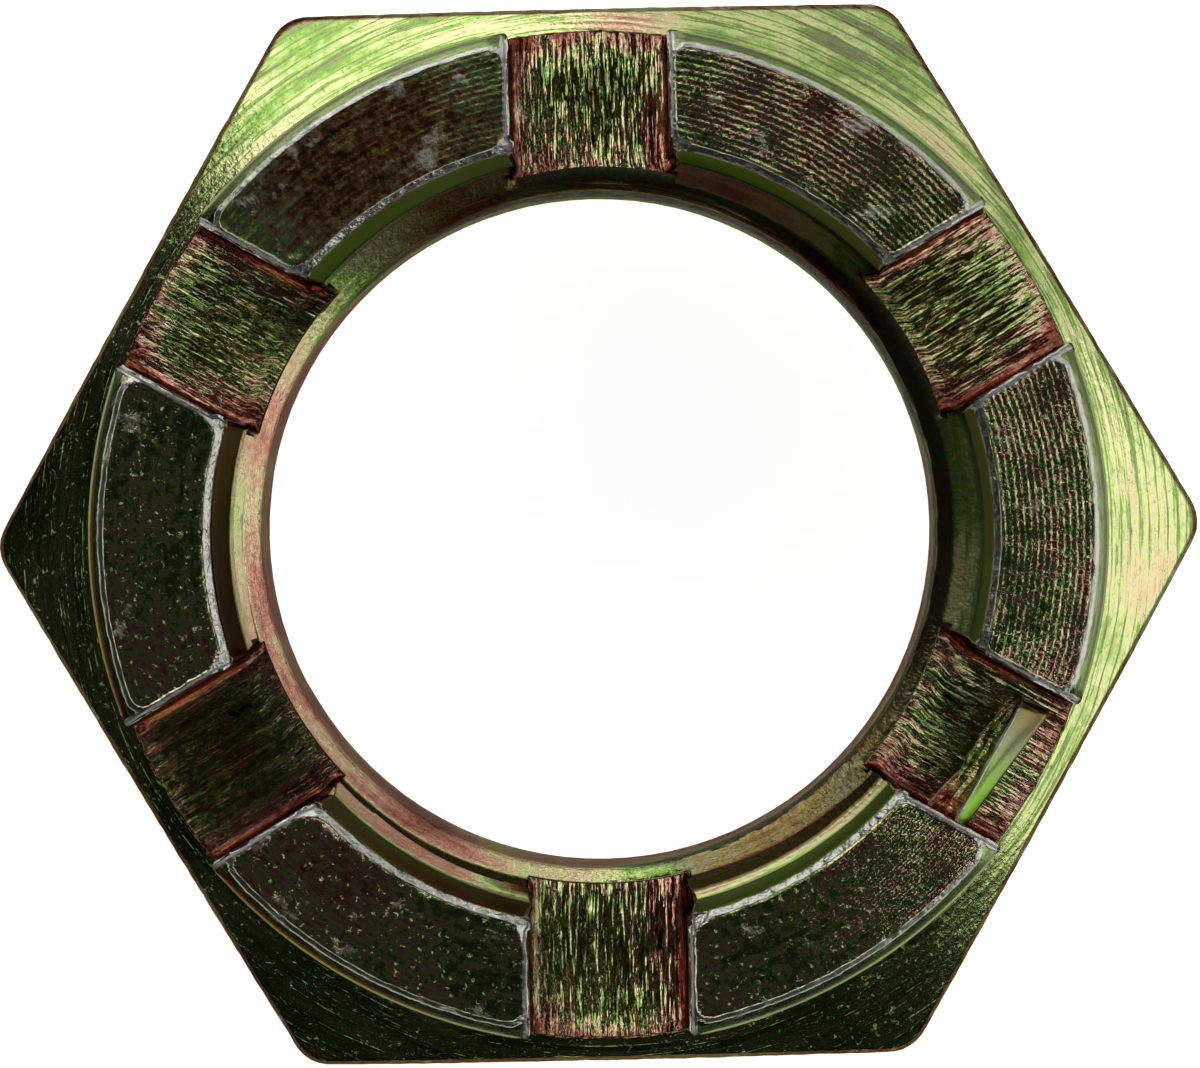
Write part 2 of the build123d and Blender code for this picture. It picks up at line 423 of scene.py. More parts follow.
crown = zip(outline, into_metal, floor_radii, fades, made_by)
for (radius, height), normal, floor_radius, fade, made in crown:
    is_outer = radius > (face_outer + face_inner) / 2
    inside = face_outer - radius if is_outer else radius - face_inner
    angle, rho, z = crown_row(radius, height, normal, floor_radius, fade)

    # How far a point lies beyond the level face with its rounded corners
    to_slot = np.maximum((angle - angle[slot_end + wall_steps]) * radius, 0)
    beyond = np.hypot(np.maximum(CORNER_RADIUS - to_slot, 0), max(CORNER_RADIUS - inside, 0)) - CORNER_RADIUS
    past = np.where(up_wall >= wall_steps - EDGE_STEPS, np.maximum(beyond, 0), 0)
    outer_wear = np.clip((beyond + 0.07) / 0.05, 0, 1) * np.clip((0.17 - beyond) / 0.06, 0, 1)
    rim_wear = outer_wear if is_outer else np.clip(past / 0.06, 0, 1)
    rim_wear = np.where(inside > -OUTER_BREAK - 0.03, rim_wear, 0)
    at_edge = np.maximum(1.05 - to_slot / EDGE_WEAR, rim_wear)
    worn = np.where(is_merlon, np.maximum(made == "break" and not is_outer, np.clip(at_edge, 0, 1)), 0)
    worn = np.where(~is_merlon & (up_wall > FILLET_STEPS + WALL_STEPS - 1), 1.0, worn)
    worn = worn * np.clip((z - NUT_HEIGHT + 0.6) / 0.3, 0, 1)
    corner_drop = (np.minimum(past, INNER_BREAK) * BREAK_SLOPE
                   + np.maximum(past - INNER_BREAK, 0) * CORNER_SLOPE)
    z = np.where(made in ("break", "faced", "rolled"), np.minimum(z, NUT_HEIGHT - corner_drop), z)

    # Shares of the mouth: tapered wall, countersink and the groove that cuts it
    wall_share = np.clip((NUT_HEIGHT - z) / (NUT_HEIGHT - MOUTH_FOOT[1]), 0, 1) if radius < face_inner else 0
    cone_share = np.clip((MOUTH_FOOT[0] - rho) / (MOUTH_FOOT[0] - ROOT_RADIUS), 0, 1)
    tapped_share = np.clip(3 * cone_share, 0, 1)
    off_floor = np.clip((z - SLOT_FLOOR - 0.02) / 0.2, 0, 1)
    torn_share = np.clip(1 - (CROWN_RADIUS - floor_radius) / TORN_REACH, 0, 1)
    lip_share = np.clip((ROOT_RADIUS - rho) / (ROOT_RADIUS - LIP_RADIUS), 0, 1)
    # Painted shade at the thread's root, on the countersink
    root_shade_share = np.clip((MOUTH_FOOT[0] - FOOT_STEP - rho) / 0.11, 0, 1)
    rim_share = np.clip(1 - inside / 0.1, 0, 1) * np.clip((z - NUT_HEIGHT + 1.2) / 0.6, 0, 1)
    marks = {MERLON_NAMES.get(made, made): np.where(is_merlon, 1 - tapped_share, 0)}
    keep_row((angle, rho, z), **marks, worn=worn, bore_side=cone_share, rim=rim_share * (not is_outer),
             tapped=np.where(is_merlon, tapped_share, 0),
             broached=np.where(is_merlon, 0, 1) * min(1, 4 * fade),
             torn=np.where(up_wall < FILLET_STEPS, torn_share, 0),
             foot_side=wall_share * (1 - cone_share) * off_floor,
             rooted=np.where(is_merlon, root_shade_share, 0),
             lip=np.where(is_merlon, 0, lip_share))
for height in BORE_HEIGHTS + (LAST_BORE_HEIGHT,):
    keep_row(ring_row(lambda a: ROOT_RADIUS + 0 * a, lambda r: 0 * r + height), tapped=1, bore_side=1,
             worn=0.5 * (height == LAST_BORE_HEIGHT))
print("rows in all", len(rows))

# %% The sector as a mesh
LAY_RISE = 0.9  # keeps the noise moving where the surface climbs without changing its radius


def both_sides(values, sign=1.0):
    """Mirrors a half row about the slot's middle."""
    return np.concatenate([sign * values[:0:-1], values])


def grid_mesh(name, x, y, z, faces):
    """Makes a mesh from three grids of coordinates in mm, and the faces that join them."""
    mesh = bpy.data.meshes.new(name)
    mesh.from_pydata((np.stack([x, y, z], axis=-1).reshape(-1, 3) * MM).tolist(), [], faces)
    return mesh


def store(mesh, name, values):
    """Writes a number, or a vector where the grid holds three of them, for each point."""
    kind, field = ("FLOAT_VECTOR", "vector") if values.ndim == 3 else ("FLOAT", "value")
    mesh.attributes.new(name, kind, "POINT").data.foreach_set(field, values.astype(np.float32).ravel())


angle = np.stack([both_sides(a, -1.0) for a, _, _, _ in rows])
radius = np.stack([both_sides(r) for _, r, _, _ in rows])
height = np.stack([both_sides(z) for _, _, z, _ in rows])
x, y = radius * np.cos(angle), radius * np.sin(angle)
index = np.arange(x.size).reshape(x.shape)
above = np.roll(index, -1, axis=0)
quads = np.stack([index[:, :-1], index[:, 1:], above[:, 1:], above[:, :-1]], axis=-1).reshape(-1, 4)
mesh = grid_mesh("sector", x, y, height, quads.tolist())
for name in ORIGINS:
    store(mesh, name, np.stack([both_sides(marks[name]) for _, _, _, marks in rows]))
store(mesh, "lay", np.stack([x, y, radius + LAY_RISE * height], axis=-1))
sector = put("nut_body", mesh)
print("faces in one sector", len(mesh.polygons))

# %% [markdown]
# ## Six sectors and the marks of the tools
# Geometry Nodes repeats the sector round the axis, welds it, and then presses the tool marks into it.
# Facing leaves fine concentric grooves on the merlons, one for each turn of the tool. Broaching leaves
# streaks along each slot, and tears the metal where the cutter leaves it. The edges are knocked about a
# little in the tumbling drum. All depths are named inputs, so they can be tried by hand.


# %% Six sectors in a ring, welded
def tree_with_inputs(name, inputs):
    """Starts a Geometry Nodes tree with named inputs. Returns it, their sockets and identifiers."""
    made = bpy.data.node_groups.new(name, "GeometryNodeTree")
    made.interface.new_socket("Geometry", in_out="OUTPUT", socket_type="NodeSocketGeometry")
    identifiers = {}
    for label, kind in inputs.items():
        one = made.interface.new_socket(label, in_out="INPUT", socket_type="NodeSocket" + kind)
        identifiers[label] = one.identifier
    return made, add(made, "NodeGroupInput").outputs, identifiers


BODY_INPUTS = {
    "Sector": "Geometry", "Sides": "Int", "Weld Distance": "Float", "Feed": "Float",
    "Facing Depth": "Float", "Shoulder Depth": "Float", "Broach Depth": "Float", "Tear Depth": "Float",
    "Dent Depth": "Float", "Bore Offset": "Vector", "Foot Offset": "Vector", "Lip Wear": "Float",
    "Rim Offset": "Vector", "Seed": "Float", "Finish": "Material", "Bore Finish": "Material"}
body_tree, given, body_socket = tree_with_inputs("nut_body_tool_marks", BODY_INPUTS)
tree = body_tree

spots = add(tree, "GeometryNodePoints", {"Count": given["Sides"]})
number = add(tree, "GeometryNodeInputIndex")
step = add(tree, "ShaderNodeMath", {0: 2 * math.pi, 1: given["Sides"]}, operation="DIVIDE")
turn = add(tree, "ShaderNodeMath", {0: number, 1: 0.5}, operation="ADD")
turn = add(tree, "ShaderNodeMath", {0: turn, 1: step}, operation="MULTIPLY")
spin = add(tree, "ShaderNodeCombineXYZ", {"Z": turn})
ring = add(tree, "GeometryNodeInstanceOnPoints",
           {"Points": spots, "Instance": given["Sector"], "Rotation": spin})
named = add(tree, "GeometryNodeStoreNamedAttribute",
            {"Geometry": ring, "Name": "sector_number", "Value": number},
            data_type="FLOAT", domain="INSTANCE")
whole = add(tree, "GeometryNodeRealizeInstances", {0: named})
welded = add(tree, "GeometryNodeMergeByDistance", {"Geometry": whole, "Distance": given["Weld Distance"]})

# %% Grain: where along and across the tool's path each point lies
GRAIN_ROUND = 15.0
SECTORS_APART = 37.0  # so that no two slots show the same streaks

here = {}
for name in ORIGINS + ("sector_number",):
    stored = add(tree, "GeometryNodeInputNamedAttribute", {"Name": name}, data_type="FLOAT")
    here[name] = stored.outputs["Attribute"]
position = add(tree, "GeometryNodeInputPosition")
flat = add(tree, "ShaderNodeVectorMath", {0: position, 1: (1 / MM, 1 / MM, 0)}, operation="MULTIPLY")
radius = add(tree, "ShaderNodeVectorMath", {0: flat}, operation="LENGTH").outputs["Value"]
outward = add(tree, "ShaderNodeVectorMath", {0: flat}, operation="NORMALIZE")
around = add(tree, "ShaderNodeVectorMath", {0: outward, 3: GRAIN_ROUND}, operation="SCALE")
lay = add(tree, "GeometryNodeInputNamedAttribute", {"Name": "lay"}, data_type="FLOAT_VECTOR")
lay = add(tree, "ShaderNodeSeparateXYZ", {0: lay.outputs["Attribute"]}).outputs
lay_up = add(tree, "ShaderNodeCombineXYZ", {"Z": lay["Z"]})
turned_grain = add(tree, "ShaderNodeVectorMath", {0: around, 1: lay_up}, operation="ADD")
apart = add(tree, "ShaderNodeMath", {0: here["sector_number"], 1: SECTORS_APART}, operation="MULTIPLY")
broach_grain = add(tree, "ShaderNodeCombineXYZ", {"X": lay["X"], "Y": apart, "Z": lay["Y"]})
straight = add(tree, "ShaderNodeMath", {0: here["broached"], 1: here["drawn"]}, operation="MAXIMUM")
grain = add(tree, "ShaderNodeMix", {"Factor": straight, 4: turned_grain, 5: broach_grain},
            data_type="VECTOR")
grained = add(tree, "GeometryNodeStoreNamedAttribute",
              {"Geometry": welded, "Name": "grain", "Value": grain.outputs[1]},
              data_type="FLOAT_VECTOR", domain="POINT")

# %% Facing and turning grooves, keener on one side of the nut
WANDER = 9.0
KEEN_SIDE = (math.cos(0.5), math.sin(0.5), 0)

grain_now = add(tree, "GeometryNodeInputNamedAttribute", {"Name": "grain"}, data_type="FLOAT_VECTOR")
seed = add(tree, "ShaderNodeCombineXYZ", {"X": given["Seed"]})
seeded = add(tree, "ShaderNodeVectorMath", {0: grain_now.outputs["Attribute"], 1: seed}, operation="ADD")
wander = add(tree, "ShaderNodeTexNoise", {"Vector": seeded, "Scale": 0.35, "Detail": 2.0})
wander = add(tree, "ShaderNodeMath", {0: wander.outputs[0], 1: WANDER}, operation="MULTIPLY")
turns = add(tree, "ShaderNodeMath", {0: radius, 1: given["Feed"]}, operation="DIVIDE")
phase = add(tree, "ShaderNodeMath", {0: turns, 1: 2 * math.pi, 2: wander}, operation="MULTIPLY_ADD")
wave = add(tree, "ShaderNodeMath", {0: phase}, operation="SINE")
sharp = side_share(tree, outward, KEEN_SIDE, -0.20, 0.45, **{"To Min": 0.35})
patchy = add(tree, "ShaderNodeTexNoise", {"Vector": seeded, "Scale": 0.8, "Detail": 3.0})
patchy = add(tree, "ShaderNodeMapRange", {"Value": patchy.outputs[0], "From Min": 0.3,
                                          "From Max": 0.55, "To Min": 0.5})
facing = add(tree, "ShaderNodeMath", {0: here["faced"], 1: given["Facing Depth"]}, operation="MULTIPLY")
turning = add(tree, "ShaderNodeMath", {0: here["turned"], 1: given["Shoulder Depth"], 2: facing},
              operation="MULTIPLY_ADD")
groove = wave
for factor in (turning, sharp, patchy):
    groove = add(tree, "ShaderNodeMath", {0: groove, 1: factor}, operation="MULTIPLY")

# %% Broach streaks, torn ends and dents
streaks = add(tree, "ShaderNodeVectorMath", {0: seeded, 1: (0.35, 1.0, 4.5)}, operation="MULTIPLY")
streaks = add(tree, "ShaderNodeTexNoise", {"Vector": streaks, "Scale": 1.0, "Detail": 4.0, "Roughness": 0.6})
streaks = add(tree, "ShaderNodeMath", {0: streaks.outputs[0], 1: 0.5}, operation="SUBTRACT")
depth = add(tree, "ShaderNodeMath", {0: here["broached"], 1: given["Broach Depth"]}, operation="MULTIPLY")
height = add(tree, "ShaderNodeMath", {0: streaks, 1: depth, 2: groove}, operation="MULTIPLY_ADD")
normal = add(tree, "GeometryNodeInputNormal")
shifts = [add(tree, "ShaderNodeVectorMath", {0: normal, 3: height}, operation="SCALE")]

chips = add(tree, "ShaderNodeVectorMath", {0: seeded, 1: (1.6, 1.0, 6.0)}, operation="MULTIPLY")
chips = add(tree, "ShaderNodeTexNoise", {"Vector": chips, "Scale": 1.0, "Detail": 4.0, "Roughness": 0.75})
knocks = add(tree, "ShaderNodeTexNoise", {"Vector": position, "Scale": 2.2 / MM, "Detail": 3.0})
for noise, where, label in ((chips, "torn", "Tear Depth"), (knocks, "worn", "Dent Depth")):
    either_way = add(tree, "ShaderNodeVectorMath", {0: noise.outputs["Color"], 1: (0.5, 0.5, 0.5)},
                     operation="SUBTRACT")
    depth = add(tree, "ShaderNodeMath", {0: here[where], 1: given[label]}, operation="MULTIPLY")
    shifts.append(add(tree, "ShaderNodeVectorMath", {0: either_way, 3: depth}, operation="SCALE"))

# %% Bore, foot and rim off centre, and the lip that is worn back on one side
LIP_SIDE = (0.5, math.sin(math.radians(60)), 0)

off = {}
for label, side in (("Bore Offset", "bore_side"), ("Foot Offset", "foot_side"), ("Rim Offset", "rim")):
    off[side] = add(tree, "ShaderNodeVectorMath", {0: given[label], 3: here[side]}, operation="SCALE")

# The cone's upper edge stays on the cone: where it moves outward it also rises
centres_apart = add(tree, "ShaderNodeVectorMath", {0: given["Foot Offset"], 1: given["Bore Offset"]},
                    operation="SUBTRACT")
foot_lift = add(tree, "ShaderNodeVectorMath", {0: centres_apart, 1: outward}, operation="DOT_PRODUCT")
foot_lift = foot_lift.outputs["Value"]
for factor in (SLOPE, here["foot_side"]):
    foot_lift = add(tree, "ShaderNodeMath", {0: foot_lift, 1: factor}, operation="MULTIPLY")
foot_lift = add(tree, "ShaderNodeCombineXYZ", {"Z": foot_lift})

lip_pull = side_share(tree, outward, LIP_SIDE, 0.5, 0.85)
for factor in (here["lip"], given["Lip Wear"]):
    lip_pull = add(tree, "ShaderNodeMath", {0: lip_pull, 1: factor}, operation="MULTIPLY")
lip_pull = add(tree, "ShaderNodeVectorMath", {0: outward, 3: lip_pull}, operation="SCALE")

shifts += [off["bore_side"], off["foot_side"], foot_lift, lip_pull, off["rim"]]
shift = shifts[0]
for more in shifts[1:]:
    shift = add(tree, "ShaderNodeVectorMath", {0: shift, 1: more}, operation="ADD")

# %% What the plating reads: phase of the grooves, keenness, liveliness, and painted shade at the thread's root
DULL_SECTOR = 3  # the slot at 210 degrees, whose floor has duller marks than the rest
# Painted shade at the thread's root lies on this side, where the last root runs out through the countersink
ROOT_SHADE_SIDE = (0.42, -0.91, 0)  # where the thread's last root runs out through the countersink
ROOT_SHADE_FADE = (0.68, 0.86)

keen = add(tree, "ShaderNodeMath", {0: sharp, 1: patchy}, operation="MULTIPLY")
dull = add(tree, "ShaderNodeMath", {0: here["sector_number"], 1: DULL_SECTOR, 2: 0.5}, operation="COMPARE")
dull = add(tree, "ShaderNodeMath", {0: dull, 1: here["broached"]}, operation="MULTIPLY")
dull = add(tree, "ShaderNodeMath", {0: dull, 1: -0.75, 2: 1.0}, operation="MULTIPLY_ADD")
lively = add(tree, "ShaderNodeMix", {"Factor": here["faced"], 2: dull, 3: keen})
# Painted shade: a dark line at the thread's root, on one side of the countersink
root_shade_mask = side_share(tree, outward, ROOT_SHADE_SIDE, *ROOT_SHADE_FADE)
root_shade_mask = add(tree, "ShaderNodeMath", {0: root_shade_mask, 1: here["rooted"]}, operation="MULTIPLY")
kept = grained
for name, value in (("feed_phase", phase), ("keen", keen), ("lively", lively), ("root_painted_shade", root_shade_mask)):
    kept = add(tree, "GeometryNodeStoreNamedAttribute", {"Geometry": kept, "Name": name, "Value": value},
               data_type="FLOAT", domain="POINT")
marked = add(tree, "GeometryNodeSetPosition", {"Geometry": kept, "Offset": shift})


# %% Shading and finish, at the end of each tree
def finished(tree, shape, crease_degrees, finish):
    """Shades a shape smooth but for its creases, makes it real and gives it its finish."""
    smooth = add(tree, "GeometryNodeSetShadeSmooth", {0: shape}, domain="FACE")
    bend = add(tree, "GeometryNodeInputMeshEdgeAngle").outputs["Unsigned Angle"]
    is_sharp = add(tree, "ShaderNodeMath", {0: bend, 1: math.radians(crease_degrees)},
                   operation="GREATER_THAN")
    creased = add(tree, "GeometryNodeSetShadeSmooth",
                  {0: smooth, "Selection": is_sharp, "Shade Smooth": False}, domain="EDGE")
    solid = add(tree, "GeometryNodeRealizeInstances", {0: creased})
    return add(tree, "GeometryNodeSetMaterial", {"Geometry": solid, "Material": finish})


in_bore = add(tree, "ShaderNodeMath", {0: here["bored"], 1: 0.5}, operation="GREATER_THAN")
body_end = add(tree, "GeometryNodeSetMaterial", {"Geometry": finished(tree, marked, 48, given["Finish"]),
                                                 "Selection": in_bore, "Material": given["Bore Finish"]})
add(tree, "NodeGroupOutput", {0: body_end})

# %% [markdown]
# ## The plating
# The finish is yellow chromate over electroplated zinc. The chromate film is thinner than a wavelength
# of light, so it tints the metal with bands of green, straw and pink that follow the tool marks, since
# the film grows unevenly over ridges and grooves. The zinc shows grey where the film is rubbed off the
# edges. The film is a tint on metal, so the shader is fully metallic and keeps the default IOR.

# %% Colours of the film, and what each tool leaves
CHROMATE = {"umber": "#2E2712", "brown": "#6E4630", "tan": "#86784A", "olive": "#8A8E6C",
            "green": "#86B04E", "straw": "#D9DF9C", "cream": "#E3CFA0", "pink": "#D89E86",
            "red_brown": "#8F5540", "zinc": "#C8C8BE"}
FILM_STOPS = ((0.02, "umber"), (0.14, "brown"), (0.24, "tan"), (0.34, "olive"), (0.42, "green"),
              (0.50, "straw"), (0.58, "cream"), (0.68, "pink"), (0.85, "red_brown"))

# What each way of working the steel leaves: where the film's colour lies on the stops above, how far
# the colour strays in streaks along the tool's path and in spots, the roughness, and the relief in mm
# of grain and of streaks
SURFACES = {
    "drawn": (0.51, 0.30, 0.08, 0.20, 0.006, 0.006),
    "turned": (0.48, 0.32, 0.16, 0.16, 0.014, 0.022),
    "rolled": (0.35, 0.08, 0.06, 0.26, 0.006, 0.0),
    "rubbed": (0.38, 0.10, 0.20, 0.22, 0.020, 0.0),
    "faced": (0.53, 0.55, 0.85, 0.20, 0.056, 0.010),
    "broached": (0.46, 0.90, 0.60, 0.17, 0.030, 0.030),
    "torn": (0.10, 0.20, 0.30, 0.04, 0.050, 0.0),
    "bored": (0.37, 0.16, 0.05, 0.34, 0.004, 0.006),
    "tapped": (0.61, 0.40, 0.20, 0.34, 0.030, 0.030),
    "threaded": (0.65, 0.42, 0.26, 0.22, 0.026, 0.034)}
FILM, STRAY, SPOTS, ROUGH, GRAIN, STREAKS = range(6)

# %% Where the film grew unevenly, and painted shade
# As the nut lay in the bath: on which surface or on all, place and reach in mm, shift of the film, and
# how much duller it is there. The patches that darken the bore, the countersink and the thread, and
# the one on the crown's outer round at the lower left, are painted shade.
FILM_AND_SHADE_PATCHES = (
    (None, (8.6, 15.0, 8.9), 4.5, -0.08, 0),
    (None, (1.5, 15.6, 9.6), 3.0, 0.14, 0),
    (None, (17.2, -2.4, 9.0), 2.6, 0.12, 0),
    (None, (-11.3, -6.5, 10.6), 3.6, -0.10, 0),
    (None, (-5.2, -9.0, 10.0), 3.5, 0.10, 0),
    ("bored", (-11.5, -2.0, 14.0), 9.0, -0.30, 0),
    ("bored", (-4.0, -11.0, 14.0), 7.0, -0.20, 0),
    ("bored", (10.6, 5.0, 13.5), 14.0, -0.05, 0.20),
    ("bored", (-5.0, 10.5, 13.5), 8.0, -0.02, 0.16),
    ("tapped", (9.5, 5.5, 11.0), 14.0, -0.27, 0.24),
    ("tapped", (-4.5, 10.3, 11.0), 8.0, -0.44, 0.10),
    ("tapped", (5.5, 9.6, 11.0), 6.5, 0.20, 0.10),
    ("tapped", (-11.0, 0.0, 11.0), 6.0, -0.06, 0),
    ("threaded", (5.6, -9.7, 10.6), 8.5, -0.36, 0),
    ("threaded", (8.4, -6.5, 10.0), 5.5, -0.16, 0.08),
    ("threaded", (2.6, -10.0, 10.3), 3.5, -0.10, 0),
    ("threaded", (-5.4, 9.4, 9.5), 6.0, -0.22, 0.10),
    ("threaded", (10.6, -3.0, 9.5), 6.0, -0.34, 0),
    ("threaded", (9.0, 5.2, 9.5), 11.0, -0.38, 0),
    ("threaded", (0.0, 10.4, 9.5), 11.0, -0.42, 0),
    ("faced", (-7.0, 11.5, 16.0), 8.5, -0.32, 0.26),
    ("rolled", (-13.2, -7.6, 15.7), 15.0, -0.22, 0),
    ("broached", (0.0, -12.8, 10.6), 3.2, 0.08, 0),
    ("rolled", (11.2, -8.0, 12.0), 2.4, 0.07, 0),
    ("rolled", (13.2, -5.5, 11.4), 1.8, -0.10, 0.05))

# By the form of the surface: at the slots' walls and ends, in scores and turning lines, on the
# shoulder's nicked edge, and painted shade in the thread's roots
FILM_SHIFTS = {"walls": 0.34, "ends": 0.10, "scores": -0.10, "lines": -0.12, "nicked": -0.27,
               "root_painted_shade": -0.75}

# %% Noise that the finish is made of, each with its detail and roughness
# By place, with its cycles for each mm
PLACE_NOISE = {"broad": (0.20, 2, 0.5), "spots": (3.0, 3, 0.7), "rub": (1.6, 5, 0.7),
               "scuff": (0.7, 6, 0.65), "beads": (3.6, 3, 0.5), "pits": (4.5, 4, 0.7)}
# By grain, with its cycles for each mm along, beside and across the tool's path
GRAIN_NOISE = {"band": ((0.30, 0.30, 3.5), 6, 0.7), "scores": ((0.25, 0.25, 12.0), 3, 0.6),
               "fine": ((0.8, 0.8, 9.0), 4, 0.7), "chatter": ((0.9, 1.0, 11.0), 4, 0.7)}


def start_finish(name):
    """Starts a material. Returns it, what its nodes read at each point, and its noise."""
    made = bpy.data.materials.new(name)
    made.use_nodes = True
    tree = made.node_tree
    tree.nodes.clear()
    here = {"place": add(tree, "ShaderNodeTexCoord").outputs["Object"],
            "grain": add(tree, "ShaderNodeAttribute", attribute_name="grain").outputs["Vector"]}
    for label in ORIGINS + ("feed_phase", "keen", "lively", "root_painted_shade"):
        here[label] = add(tree, "ShaderNodeAttribute", attribute_name=label).outputs["Fac"]
    noise = {}
    for label, (per_mm, detail, roughness) in PLACE_NOISE.items():
        noise[label] = add(tree, "ShaderNodeTexNoise", {"Vector": here["place"], "Scale": per_mm / MM,
                                                        "Detail": detail, "Roughness": roughness}).outputs[0]
    for label, (per_mm, detail, roughness) in GRAIN_NOISE.items():
        drawn_out = add(tree, "ShaderNodeMapping", {"Vector": here["grain"], "Scale": per_mm})
        noise[label] = add(tree, "ShaderNodeTexNoise", {"Vector": drawn_out, "Scale": 1.0,
                                                        "Detail": detail, "Roughness": roughness}).outputs[0]
    return made, here, noise


def total(tree, here, column):
    """Adds up one column of SURFACES, each row weighted by how much of that surface is here."""
    so_far = 0.0
    for label, values in SURFACES.items():
        so_far = add(tree, "ShaderNodeMath", {0: here[label], 1: values[column], 2: so_far},
                     operation="MULTIPLY_ADD")
    return so_far


# %% Thickness of the film
TURNING_LINES = 0.7


def nearness(tree, here, centre, far, near, **settings):
    """A share that grows from 0 at the far distance from a place to 1 at the near one, in mm."""
    away = add(tree, "ShaderNodeVectorMath", {0: here["place"], 1: [c * MM for c in centre]},
               operation="DISTANCE")
    return add(tree, "ShaderNodeMapRange", {"Value": away.outputs["Value"], "From Min": far * MM,
                                            "From Max": near * MM}, **settings)


def slot_shares(tree, here):
    """How near a point of a slot is to its walls, and to its ends. Both are 0 outside the slots."""
    grain = add(tree, "ShaderNodeSeparateXYZ", {0: here["grain"]}).outputs
    walls = add(tree, "ShaderNodeMath", {0: grain["Z"], 1: 1 / SLOT_HALF}, operation="MULTIPLY")
    walls = add(tree, "ShaderNodeMath", {0: walls, 1: 4.0}, operation="POWER")
    walls = add(tree, "ShaderNodeMath", {0: walls, 1: 1.0}, operation="MINIMUM")
    ends = add(tree, "ShaderNodeMath", {0: grain["X"], 1: SLOT_MIDDLE}, operation="SUBTRACT")
    ends = add(tree, "ShaderNodeMath", {0: ends, 1: 1 / SLOT_HALF}, operation="MULTIPLY")
    ends = add(tree, "ShaderNodeMath", {0: ends, 1: 2.0}, operation="POWER")
    for label, share in (("walls", walls), ("ends", ends)):
        here[label] = add(tree, "ShaderNodeMath", {0: share, 1: here["broached"]}, operation="MULTIPLY")


def turning_marks(tree, here, noise):
    """Scores that the swarf left on turned surfaces, and lines that follow the feed."""
    scores = add(tree, "ShaderNodeMapRange", {"Value": noise["scores"], "From Min": 0.54, "From Max": 0.60})
    here["scores"] = add(tree, "ShaderNodeMath", {0: scores, 1: here["turned"]}, operation="MULTIPLY")
    lines = add(tree, "ShaderNodeMath", {0: here["feed_phase"], 1: TURNING_LINES}, operation="MULTIPLY")
    lines = add(tree, "ShaderNodeMath", {0: lines}, operation="SINE")
    lines = add(tree, "ShaderNodeMapRange", {"Value": lines, "From Min": 0.75, "From Max": 0.98})
    for factor in (here["turned"], here["keen"]):
        lines = add(tree, "ShaderNodeMath", {0: lines, 1: factor}, operation="MULTIPLY")
    here["lines"] = lines


def film_thickness(tree, here, noise):
    """Where the film's colour lies on its stops, with painted shade in some patches, and how much duller the
    surface is in patches.
    """
    both = add(tree, "ShaderNodeMath", {0: noise["band"], 1: noise["broad"]}, operation="ADD")
    both = add(tree, "ShaderNodeMath", {0: both, 1: 1.0}, operation="SUBTRACT")
    spots = add(tree, "ShaderNodeMath", {0: noise["spots"], 1: 0.5}, operation="SUBTRACT")
    film = total(tree, here, FILM)
    for pattern, column in ((both, STRAY), (spots, SPOTS)):
        film = add(tree, "ShaderNodeMath", {0: pattern, 1: total(tree, here, column), 2: film},
                   operation="MULTIPLY_ADD")
    for label, shift in FILM_SHIFTS.items():
        film = add(tree, "ShaderNodeMath", {0: here[label], 1: shift, 2: film}, operation="MULTIPLY_ADD")
    duller = 0.0
    # Some of these patches are painted shade: they darken the bore, the thread and part of the outer round
    for label, centre, reach, shift, dulled in FILM_AND_SHADE_PATCHES:
        share = nearness(tree, here, centre, reach, 0.0, interpolation_type="SMOOTHSTEP")
        if label:
            share = add(tree, "ShaderNodeMath", {0: share, 1: here[label]}, operation="MULTIPLY")
        film = add(tree, "ShaderNodeMath", {0: share, 1: shift, 2: film}, operation="MULTIPLY_ADD")
        if dulled:
            duller = add(tree, "ShaderNodeMath", {0: share, 1: dulled, 2: duller}, operation="MULTIPLY_ADD")
    return film, duller


# %% Zinc laid bare
SCUFFED_PLACE = (-7.0, 11.5, 16.0)
SCUFF_REACH = (7.5, 2.0)
SCUFF_SHARE = 0.8


def bare_zinc(tree, here, noise):
    """Where the film is rubbed through at the edges, and where the merlons' faces are scuffed."""
    bare = add(tree, "ShaderNodeMath", {0: here["worn"], 1: noise["rub"]}, operation="ADD")
    bare = add(tree, "ShaderNodeMapRange", {"Value": bare, "From Min": 0.95, "From Max": 1.25})
    share = nearness(tree, here, SCUFFED_PLACE, *SCUFF_REACH)
    scuff = add(tree, "ShaderNodeMath", {0: share, 1: 0.035, 2: noise["scuff"]}, operation="MULTIPLY_ADD")
    scuff = add(tree, "ShaderNodeMapRange", {"Value": scuff, "From Min": 0.60, "From Max": 0.69})
    for factor in (here["faced"], SCUFF_SHARE):
        scuff = add(tree, "ShaderNodeMath", {0: scuff, 1: factor}, operation="MULTIPLY")
    bare = add(tree, "ShaderNodeMath", {0: bare, 1: scuff}, operation="MAXIMUM")
    return bare, scuff


# %% Relief, in millimetres
PIT_DEPTH = -0.014
RIDGE_HEIGHT = 0.005
SCORE_DEPTH = -0.003


